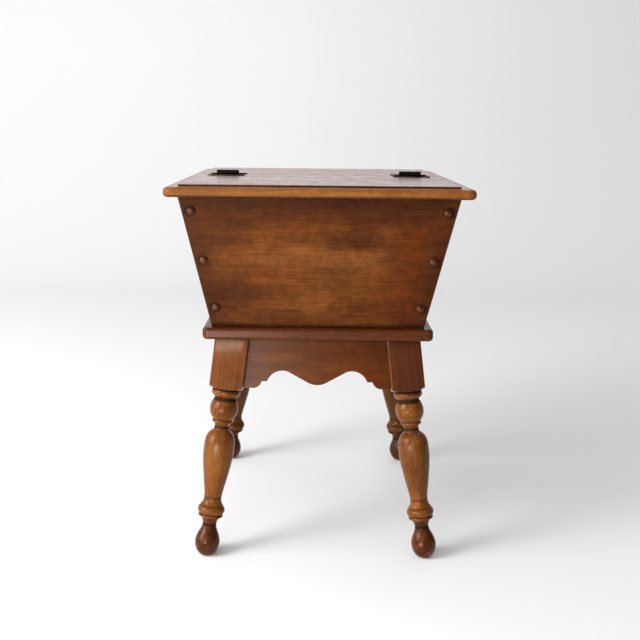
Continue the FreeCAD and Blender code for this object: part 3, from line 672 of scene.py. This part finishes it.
def link_piece(name, mesh, finish, node):
    """Makes the object for a finished bmesh, with its finish, in the place of a CAD node."""
    data = mesh_data(name, mesh)
    data.shade_smooth()
    data.set_sharp_from_angle(angle=math.radians(32))
    piece = add_object(name, data)
    dress(piece, finish)
    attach(piece, frame["nodes"][node]["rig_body"])
    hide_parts(node)
    return piece


def merged_copy(node):
    """A bmesh of a CAD node with its loose triangles joined and its flat faces whole."""
    mesh = bmesh.new()
    mesh.from_mesh(frame["nodes"][node].data)
    bmesh.ops.remove_doubles(mesh, verts=mesh.verts, dist=1e-6)
    bmesh.ops.dissolve_limit(mesh, angle_limit=math.radians(0.5), verts=mesh.verts, edges=mesh.edges)
    return mesh


def ease_edges(mesh, width):
    """Bevels the sharp edges and marks the new strips, which wear first."""
    mark = mesh.faces.layers.float.new("edge")
    sharp = [edge for edge in mesh.edges
             if len(edge.link_faces) == 2 and edge.calc_face_angle(0) > math.radians(35)]
    made = bmesh.ops.bevel(mesh, geom=sharp, offset=width, offset_type="OFFSET", segments=2, profile=0.5,
                           affect="EDGES", material=-1, clamp_overlap=False)
    for face in made["faces"]:
        face[mark] = 1.0


def eased_board(node, finish, width=None):
    """A CAD board with eased edges and a finish."""
    mesh = merged_copy(node)
    ease_edges(mesh, width or sizes().edge_ease)
    board = link_piece(node + "_dressed", mesh, finish, node)
    flatten = board.modifiers.new("Flat faces stay flat", "WEIGHTED_NORMAL")
    flatten.keep_sharp = True
    return board


def smooth_run(points, start_slope, end_slope, steps=6):
    """Points on a smooth line through the given (depth, radius) points."""
    slopes = [after - before for before, after in zip(points, points[2:])]
    slopes = [Vector(start_slope), *slopes, Vector(end_slope)]
    line = [points[0]]
    for start, end, out_slope, in_slope in zip(points, points[1:], slopes, slopes[1:]):
        reach = (end - start).length
        out_of, into = out_slope.normalized() * reach, in_slope.normalized() * reach
        for t in [step / steps for step in range(1, steps + 1)]:
            line.append(start * (2 * t ** 3 - 3 * t ** 2 + 1) + out_of * (t ** 3 - 2 * t ** 2 + t)
                        + end * (3 * t ** 2 - 2 * t ** 3) + into * (t ** 3 - t ** 2))
    return line


def arc_run(start, crown, end, steps=14):
    """Points on the arc through three (depth, radius) points."""
    first, middle, last = Vector(start), Vector(crown), Vector(end)
    side_a, side_b = middle - first, last - first
    twice_area = 2 * side_a.cross(side_b)
    square_a, square_b = side_a.length_squared, side_b.length_squared
    centre = first + Vector((side_b.y * square_a - side_a.y * square_b,
                             side_a.x * square_b - side_b.x * square_a)) / twice_area
    radius = (first - centre).length
    begin, bow, sweep = [math.atan2(spot.y - centre.y, spot.x - centre.x) for spot in (first, middle, last)]
    sweep, bow = (sweep - begin) % math.tau, (bow - begin) % math.tau
    if bow > sweep:
        sweep -= math.tau
    turns = [begin + sweep * step / steps for step in range(steps + 1)]
    return [centre + radius * Vector((math.cos(turn), math.sin(turn))) for turn in turns]


# Legs

# The turning's profile: the distance down as a share of its length, and the radius as a share of half the
# block's width
THROAT = 0.74
COLLAR_BEAD = [(0.0040, 0.750), (0.0262, 0.852), (0.0522, 0.651)]
BALL_BEAD = [(0.0630, 0.612), (0.1244, 0.841), (0.1890, 0.563)]
BALL_LIP = [(0.1927, 0.606), (0.2030, 0.606)]
COVE = [(0.2030, 0.606), (0.2159, 0.461), (0.2355, 0.424)]
VASE = [(0.2491, 0.455), (0.2707, 0.722), (0.3023, 0.872), (0.3499, 0.920), (0.4292, 0.884), (0.5344, 0.718),
        (0.6168, 0.568), (0.6560, 0.525), (0.6789, 0.572), (0.6944, 0.667)]
UPPER_GROOVE = [(0.6978, 0.667), (0.7002, 0.612)]
RING_BEAD = [(0.7010, 0.660), (0.7243, 0.816), (0.7514, 0.660)]
LOWER_LIP = [(0.7524, 0.735), (0.7640, 0.735)]
BULB = [(0.7640, 0.675), (0.7826, 0.517), (0.8043, 0.424), (0.8196, 0.415), (0.8440, 0.493), (0.8721, 0.630),
        (0.8985, 0.718), (0.9224, 0.749), (0.9651, 0.647), (0.9978, 0.364), (1.0086, 0.0)]


def leg_axis(corner):
    """The centre of a leg's top, the direction down its axis, and its turned length."""
    chest = sizes()
    low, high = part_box(corner + "_leg")
    side = CORNERS[corner]
    half = chest.block_width / 2
    lean = math.tan(chest.leg_splay)
    down = Vector((side[0] * lean, side[1] * lean, -1)).normalized()
    inner_x = low.x if side[0] > 0 else high.x
    inner_y = low.y if side[1] > 0 else high.y
    top = Vector((inner_x + side[0] * half, inner_y + side[1] * half, high.z))
    return top, down, top.z / -down.z - chest.block_length


def turning_line(turned_length):
    """The turned profile as (depth, radius) from the end of the block."""
    half = sizes().block_width / 2

    def real(pairs):
        return [Vector((depth * turned_length, radius * half)) for depth, radius in pairs]

    shoulder = [(0, 0.995), (0, THROAT), (COLLAR_BEAD[0][0], THROAT)]
    return (real(shoulder) + arc_run(*real(COLLAR_BEAD)) + arc_run(*real(BALL_BEAD), steps=22)
            + real(BALL_LIP) + arc_run(*real(COVE), steps=8)[1:] + smooth_run(real(VASE), (0.5, 1), (0.7, 1))
            + real(UPPER_GROOVE) + arc_run(*real(RING_BEAD)) + real(LOWER_LIP)
            + smooth_run(real(BULB), (0.7, -1), (0, -1)))


def groove_marks(line):
    """How deep each point of the profile lies between its neighbours: 1 in a groove, 0 on a crown."""
    window, full_depth = 0.0075, 0.0011
    marks = []
    for spot in line:
        before = max(other.y for other in line if spot.x - window <= other.x <= spot.x)
        after = max(other.y for other in line if spot.x <= other.x <= spot.x + window)
        marks.append(min(1.0, max(0.0, (min(before, after) - spot.y) / full_depth)))
    return marks


def spun_profile(line, marks, steps):
    """Spins a (depth, radius) profile about Z, down from the origin, and carries its marks."""
    mesh = bmesh.new()
    glaze = mesh.verts.layers.float.new("glaze")
    verts = []
    for spot, mark in zip(line, marks):
        vert = mesh.verts.new((max(spot.y, 0.0), 0, -spot.x))
        vert[glaze] = mark
        verts.append(vert)
    edges = [mesh.edges.new(pair) for pair in zip(verts, verts[1:])]
    bmesh.ops.spin(mesh, geom=verts + edges, axis=UP, cent=(0, 0, 0), angle=math.tau, steps=steps,
                   use_merge=True)
    bmesh.ops.remove_doubles(mesh, verts=mesh.verts, dist=1e-6)
    bmesh.ops.recalc_face_normals(mesh, faces=mesh.faces)
    return mesh


def carry_grain(mesh, matrix, shift):
    """Stores each vertex's place on its own piece, and the same moved, which the grain follows."""
    own, layer = mesh.verts.layers.float_vector.new("own"), mesh.verts.layers.float_vector.new("grain")
    back = matrix.inverted()
    for vert in mesh.verts:
        vert[own] = back @ vert.co
        vert[layer] = vert[own] + shift


def cut_off(mesh, point, outwards):
    """Cuts away all beyond a plane, and gives the edges along the cut."""
    geom = mesh.verts[:] + mesh.edges[:] + mesh.faces[:]
    cut = bmesh.ops.bisect_plane(mesh, geom=geom, plane_co=point, plane_no=outwards, clear_outer=True,
                                 dist=1e-7)
    return [item for item in cut["geom_cut"] if isinstance(item, bmesh.types.BMEdge)]


def make_leg(corner):
    """The CAD leg's block and a finer turning, as one piece of wood."""
    top, down, turned_length = leg_axis(corner)
    shoulder = top + down * sizes().block_length
    stand = Matrix.Translation(shoulder) @ UP.rotation_difference(-down).to_matrix().to_4x4()
    line = turning_line(turned_length)
    turning = spun_profile(line, groove_marks(line), sizes().turning_steps)
    bmesh.ops.transform(turning, matrix=stand, verts=turning.verts)
    rim = cut_off(turning, (0, 0, 0), (0, 0, -1))
    bmesh.ops.contextual_create(turning, geom=rim)
    turned = mesh_data("turning", turning)
    whole = merged_copy(corner + "_leg")
    overlap = 0.00002
    cut_off(whole, shoulder - down * overlap, down)
    whole.from_mesh(turned)
    bpy.data.meshes.remove(turned)
    carry_grain(whole, stand, list(CORNERS).index(corner) * Vector((0.31, 0.17, 0.53)))
    link_piece(corner + "_leg_turned", whole, "leg_wood", corner + "_leg")


# Plugs and hinge screws

def loose_parts(node):
    """The points of each separate solid in a CAD node."""
    mesh = merged_copy(node)
    seen, found = set(), []
    for first in mesh.verts:
        if first in seen:
            continue
        seen.add(first)
        group = [first]
        for vert in group:  # the group grows as it is walked
            for edge in vert.link_edges:
                other = edge.other_vert(vert)
                if other not in seen:
                    seen.add(other)
                    group.append(other)
        found.append([vert.co.copy() for vert in group])
    mesh.free()
    return found


def stands(node, out, sink, first_turn, further_turn):
    """Where each solid of a node stands: its top's middle, sunk by a depth, Z outwards and turned."""
    upright = UP.rotation_difference(out).to_matrix().to_4x4()
    places = []
    for number, spots in enumerate(loose_parts(node)):
        reach = max(spot.dot(out) for spot in spots)
        top = [spot for spot in spots if spot.dot(out) > reach - 1e-5]
        seat = sum(top, Vector()) / len(top) - out * sink
        turn = Matrix.Rotation(first_turn + number * further_turn, 4, "Z")
        places.append(Matrix.Translation(seat) @ upright @ turn)
    return places


def repeated(line, marks, steps, places, grain_shift=None):
    """A bmesh with the same spun piece at several places, with grain of its own where a shift is given."""
    joined = bmesh.new()
    for number, stand in enumerate(places):
        mesh = spun_profile(line, marks, steps)
        bmesh.ops.transform(mesh, matrix=stand, verts=mesh.verts)
        if grain_shift is not None:
            carry_grain(mesh, stand, number * Vector((0.07, 0.11, 0.05)) + grain_shift)
        copy = mesh_data("copy", mesh)
        joined.from_mesh(copy)
        bpy.data.meshes.remove(copy)
    return joined


def plug_line():
    """Profile of a domed plug, from the crown down to the end of its shank."""
    chest = sizes()
    head, shank = chest.button_width / 2, chest.button_shank / 2
    rise, rim = chest.button_height, chest.button_rim
    dome = arc_run((-rise, 0), (-rise + rise * 0.293, head * 0.70), (-rim, head), steps=10)
    foot = arc_run((-rim, head), (-rim * 0.3, head * 0.985), (0, head * 0.955), steps=4)[1:]
    return dome + foot + [Vector((0, shank)), Vector((rise, shank)), Vector((rise, 0))]


def make_plugs(end):
    """The six domed plugs of one end, darker towards their rims with dark finish and painted contact shade.
    """
    chest = sizes()
    sign = -1 if end == "front" else 1
    out = Vector((0, sign * math.cos(chest.box_flare), -math.sin(chest.box_flare)))
    line = plug_line()
    marks = [min(1.0, max(0.0, (spot.y / chest.button_width * 2 - 0.80) / 0.2)) for spot in line]
    places = stands(end + "_panel_buttons", out, chest.button_height, 0.0, 0.9)
    plugs = repeated(line, marks, 40, places, Vector((0, 0, sign)))
    link_piece(end + "_plugs", plugs, "button_wood", end + "_panel_buttons")


def hinge_screw_line():
    """Profile of a hinge screw, from the crown of its low dome down to its tip."""
    head, low = sizes().screw_head / 2, -sizes().screw_dome
    head_foot, tip_start, tip = 0.0014, 0.008, 0.011
    dome = arc_run((low, 0), (low * 0.72, head * 0.55), (0, head * 0.97), steps=8)
    return dome + [Vector((head_foot, head / 2)), Vector((tip_start, head / 2)), Vector((tip, head * 0.15)),
                   Vector((tip, 0))]


def make_hinge_screws(node):
    """Screws with low domed heads and driver slots, each slot at its own turn."""
    chest = sizes()
    line = hinge_screw_line()
    places = stands(node, UP, 0.0, 0.7, 1.3)
    screws = repeated(line, [0.0] * len(line), 32, places)
    piece = link_piece(node + "_slotted", screws, "hinge_screw_metal", node)
    slots = bmesh.new()
    box = (Matrix.Translation((0, 0, chest.screw_dome * 0.7))
           @ Matrix.Diagonal((chest.screw_head * 1.2, chest.screw_slot, chest.screw_dome * 2, 1)))
    for stand in places:
        bmesh.ops.create_cube(slots, size=1.0, matrix=stand @ box)
    cutter = add_object("slots", mesh_data("slots", slots))
    carve = piece.modifiers.new("Slots", "BOOLEAN")
    carve.operation, carve.object, carve.solver = "DIFFERENCE", cutter, "EXACT"
    bpy.context.view_layer.update()
    carved = bpy.data.meshes.new_from_object(piece.evaluated_get(bpy.context.evaluated_depsgraph_get()))
    piece.modifiers.clear()
    piece.data = carved
    bpy.data.meshes.remove(cutter.data)  # takes the cutter with it


# Operators

class ChestOperator:
    """What every operator of the chest shares."""
    bl_options = {"REGISTER", "UNDO"}

    def execute(self, context):
        self.make()
        return {"FINISHED"}


class CHEST_OT_finishes(ChestOperator, Operator):
    """Make the wood and metal finishes"""
    bl_idname = "chest.finishes"
    bl_label = "Finishes"

    def make(self):
        build_grain_group()
        build_clouds_group()
        build_wear_group()
        build_patch_group()
        make_woods()
        make_metals()


class CHEST_OT_top(ChestOperator, Operator):
    """Ease and finish the lid and the fixed top"""
    bl_idname = "chest.top"
    bl_label = "Top"

    def make(self):
        for node, finish in (("lid", "top_wood"), ("fixed_top", "rear_top_wood")):
            board = eased_board(node, finish)
            dress(board, finish, "ledge_wood")
            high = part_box(node)[1].z
            for face in board.data.polygons:
                if face.center.z < high - 0.0008:
                    face.material_index = 1


class CHEST_OT_box(ChestOperator, Operator):
    """Ease and finish the four panels of the box"""
    bl_idname = "chest.box"
    bl_label = "Box panels"

    def make(self):
        for node in ("front_end_panel", "rear_end_panel"):
            eased_board(node, "panel_wood")
        for node in ("left_side_panel", "right_side_panel"):
            eased_board(node, "side_wood")


class CHEST_OT_base(ChestOperator, Operator):
    """Finish the base board"""
    bl_idname = "chest.base"
    bl_label = "Base board"

    def make(self):
        eased_board("base_board", "base_wood")


class CHEST_OT_aprons(ChestOperator, Operator):
    """Ease and finish the four scalloped aprons"""
    bl_idname = "chest.aprons"
    bl_label = "Aprons"

    def make(self):
        for node in ("front_apron", "rear_apron"):
            eased_board(node, "apron_wood")
        for node in ("left_apron", "right_apron"):
            eased_board(node, "side_apron_wood")


class CHEST_OT_legs(ChestOperator, Operator):
    """Turn the four splayed legs"""
    bl_idname = "chest.legs"
    bl_label = "Legs"

    def make(self):
        for corner in CORNERS:
            make_leg(corner)


class CHEST_OT_plugs(ChestOperator, Operator):
    """Make the domed plugs in the end panels"""
    bl_idname = "chest.plugs"
    bl_label = "Plugs"

    def make(self):
        for end in ("front", "rear"):
            make_plugs(end)


class CHEST_OT_hinges(ChestOperator, Operator):
    """Ease and blacken the butterfly hinges and their screws"""
    bl_idname = "chest.hinges"
    bl_label = "Hinges"

    def make(self):
        for side in ("left", "right"):
            for leaf in ("lid_leaf", "fixed_leaf"):
                eased_board(side + "_hinge_" + leaf, "hinge_metal", width=sizes().leaf_edge)
            dress(frame["nodes"][side + "_hinge_pin"], "hinge_metal")
        make_hinge_screws("hinge_lid_screws")
        make_hinge_screws("hinge_fixed_screws")


class CHEST_OT_inner(ChestOperator, Operator):
    """Finish the cleats, battens, corner blocks and hidden screws"""
    bl_idname = "chest.inner"
    bl_label = "Inner pieces"

    def make(self):
        for name, node in frame["nodes"].items():
            if "cleat" in name or "batten" in name or "corner_block" in name:
                dress(node, "inner_wood")
            if name.endswith("_screws") and not name.startswith("hinge"):
                dress(node, "screw_steel")


class CHEST_OT_stage(ChestOperator, Operator):
    """Set up the pale studio, its lights and the camera"""
    bl_idname = "chest.stage"
    bl_label = "Studio"

    def make(self):
        make_sweep()
        make_air()
        make_windows()
        make_camera()
        bpy.context.scene.view_settings.view_transform = "Standard"


# Studio

def make_sweep():
    """A floor that curves up into the backdrop."""
    mesh = bmesh.new()
    near, far, half, bend, height, steps = -4.0, 3.0, 5.0, 1.0, 4.0, 12
    turns = [math.radians(90) * step / steps for step in range(steps + 1)]
    curve = [(far - bend + bend * math.sin(turn), bend - bend * math.cos(turn)) for turn in turns]
    line = [(near, 0.0), *curve, (far, height)]
    verts = [mesh.verts.new((-half, y, z)) for y, z in line]
    edges = [mesh.edges.new(pair) for pair in zip(verts, verts[1:])]
    made = bmesh.ops.extrude_edge_only(mesh, edges=edges)
    moved = [item for item in made["geom"] if isinstance(item, bmesh.types.BMVert)]
    bmesh.ops.translate(mesh, verts=moved, vec=(2 * half, 0, 0))
    bmesh.ops.recalc_face_normals(mesh, faces=mesh.faces)
    sweep = add_object("studio_sweep", mesh_data("studio_sweep", mesh))
    sweep.data.shade_smooth()
    shade(new_material("studio_paper"), {"Base Color": solid(colours().studio), "Roughness": 0.9,
                                         "Specular IOR Level": 0.1})
    dress(sweep, "studio_paper")


# Each soft light: its place, what it faces, its width and height, and the property with its power
WINDOWS = {
    "window_left": ((-2.40, -1.20, 1.30), (0, 0, 0.3), (2.0, 1.6), "window_power"),
    "window_pane": ((-1.60, -0.95, 1.35), (0, 0, 0.3), (0.6, 0.9), "pane_power"),
    "fill_front": ((-0.75, -2.70, 0.70), (0, 0, 0.35), (1.1, 1.2), "fill_power"),
    "low_glow": ((-0.50, -1.25, 0.14), (-0.1, -0.2, 0.3), (0.7, 0.24), "low_power"),
    "wall_top": ((-1.60, 0.90, 2.40), (-0.4, 3.0, 0.9), (1.6, 1.0), "wash_power"),
    "wall_foot": ((-2.60, 1.20, 0.90), (0, 3.0, 0.6), (1.5, 1.2), "wall_power"),
}


def make_windows():
    """The soft rectangular lights, which the camera doesn't see."""
    for name, (place, target, (width, height), power_name) in WINDOWS.items():
        data = bpy.data.lights.new(name, "AREA")
        data.shape, data.size, data.size_y = "RECTANGLE", width, height
        data.energy = getattr(studio(), power_name)
        lamp = add_object(name, data)
        lamp.location = place
        lamp.rotation_euler = (Vector(target) - Vector(place)).to_track_quat("-Z", "Y").to_euler()
        lamp.visible_camera = False


def make_air():
    """The room's own light: pale on the left and above, dim on the right and behind the camera."""
    set_up = studio()
    world = bpy.data.worlds.new("studio_air")
    world.use_nodes = True
    tree = world.node_tree
    away = add(tree, "TexCoord").outputs["Generated"]
    towards = vector_maths(tree, "DOT_PRODUCT", away, set_up.pale_side, result="Value")
    glow = ramped(tree, towards, -0.75, 0.85, set_up.room_shade, set_up.room_light)
    seen = add(tree, "LightPath").outputs["Is Camera Ray"]
    strength = add(tree, "Mix", {0: seen, 2: glow, 3: set_up.room_seen}).outputs[0]
    background = tree.nodes["Background"].inputs
    tree.links.new(strength, background["Strength"])
    background["Color"].default_value = (1, 1, 1, 1)
    bpy.context.scene.world = world


def make_camera():
    """The photographer's place, lens and angle."""
    set_up = studio()
    data = bpy.data.cameras.new("camera")
    data.sensor_width, data.lens, data.shift_x = 36.0, set_up.lens, set_up.shift
    camera = add_object("camera", data)
    turn = (Matrix.Rotation(-set_up.pan, 4, "Z") @ Matrix.Rotation(math.radians(90) - set_up.tilt, 4, "X")
            @ Matrix.Rotation(set_up.roll, 4, "Z"))
    camera.matrix_world = Matrix.Translation((set_up.eye_side, set_up.eye_back, set_up.eye_height)) @ turn
    bpy.context.scene.camera = camera


# Add-on

STEPS = (CHEST_OT_finishes, CHEST_OT_top, CHEST_OT_box, CHEST_OT_base, CHEST_OT_aprons, CHEST_OT_legs,
         CHEST_OT_plugs, CHEST_OT_hinges, CHEST_OT_inner, CHEST_OT_stage)


class CHEST_PT_panel(Panel):
    """Lists the chest's pieces, sizes and colours"""
    bl_idname = "CHEST_PT_panel"
    bl_label = "Sugar chest"
    bl_space_type = "VIEW_3D"
    bl_region_type = "UI"
    bl_category = "Sugar chest"

    def draw(self, context):
        layout = self.layout
        for step in STEPS:
            layout.operator(step.bl_idname)
        for group in (context.scene.chest_sizes, context.scene.chest_colours, context.scene.chest_studio):
            box = layout.box()
            for name in group.bl_rna.properties.keys():
                if name not in ("rna_type", "name"):
                    box.prop(group, name)


CLASSES = (ChestSizes, ChestColours, ChestStudio) + STEPS + (CHEST_PT_panel,)


def register():
    for item in CLASSES:
        bpy.utils.register_class(item)
    bpy.types.Scene.chest_sizes = PointerProperty(type=ChestSizes)
    bpy.types.Scene.chest_colours = PointerProperty(type=ChestColours)
    bpy.types.Scene.chest_studio = PointerProperty(type=ChestStudio)


def unregister():
    del bpy.types.Scene.chest_studio
    del bpy.types.Scene.chest_colours
    del bpy.types.Scene.chest_sizes
    for item in reversed(CLASSES):
        bpy.utils.unregister_class(item)


def main():
    register()
    for step in STEPS:
        area, call = step.bl_idname.split(".")
        getattr(getattr(bpy.ops, area), call)()


if __name__ == "__main__":
    main()
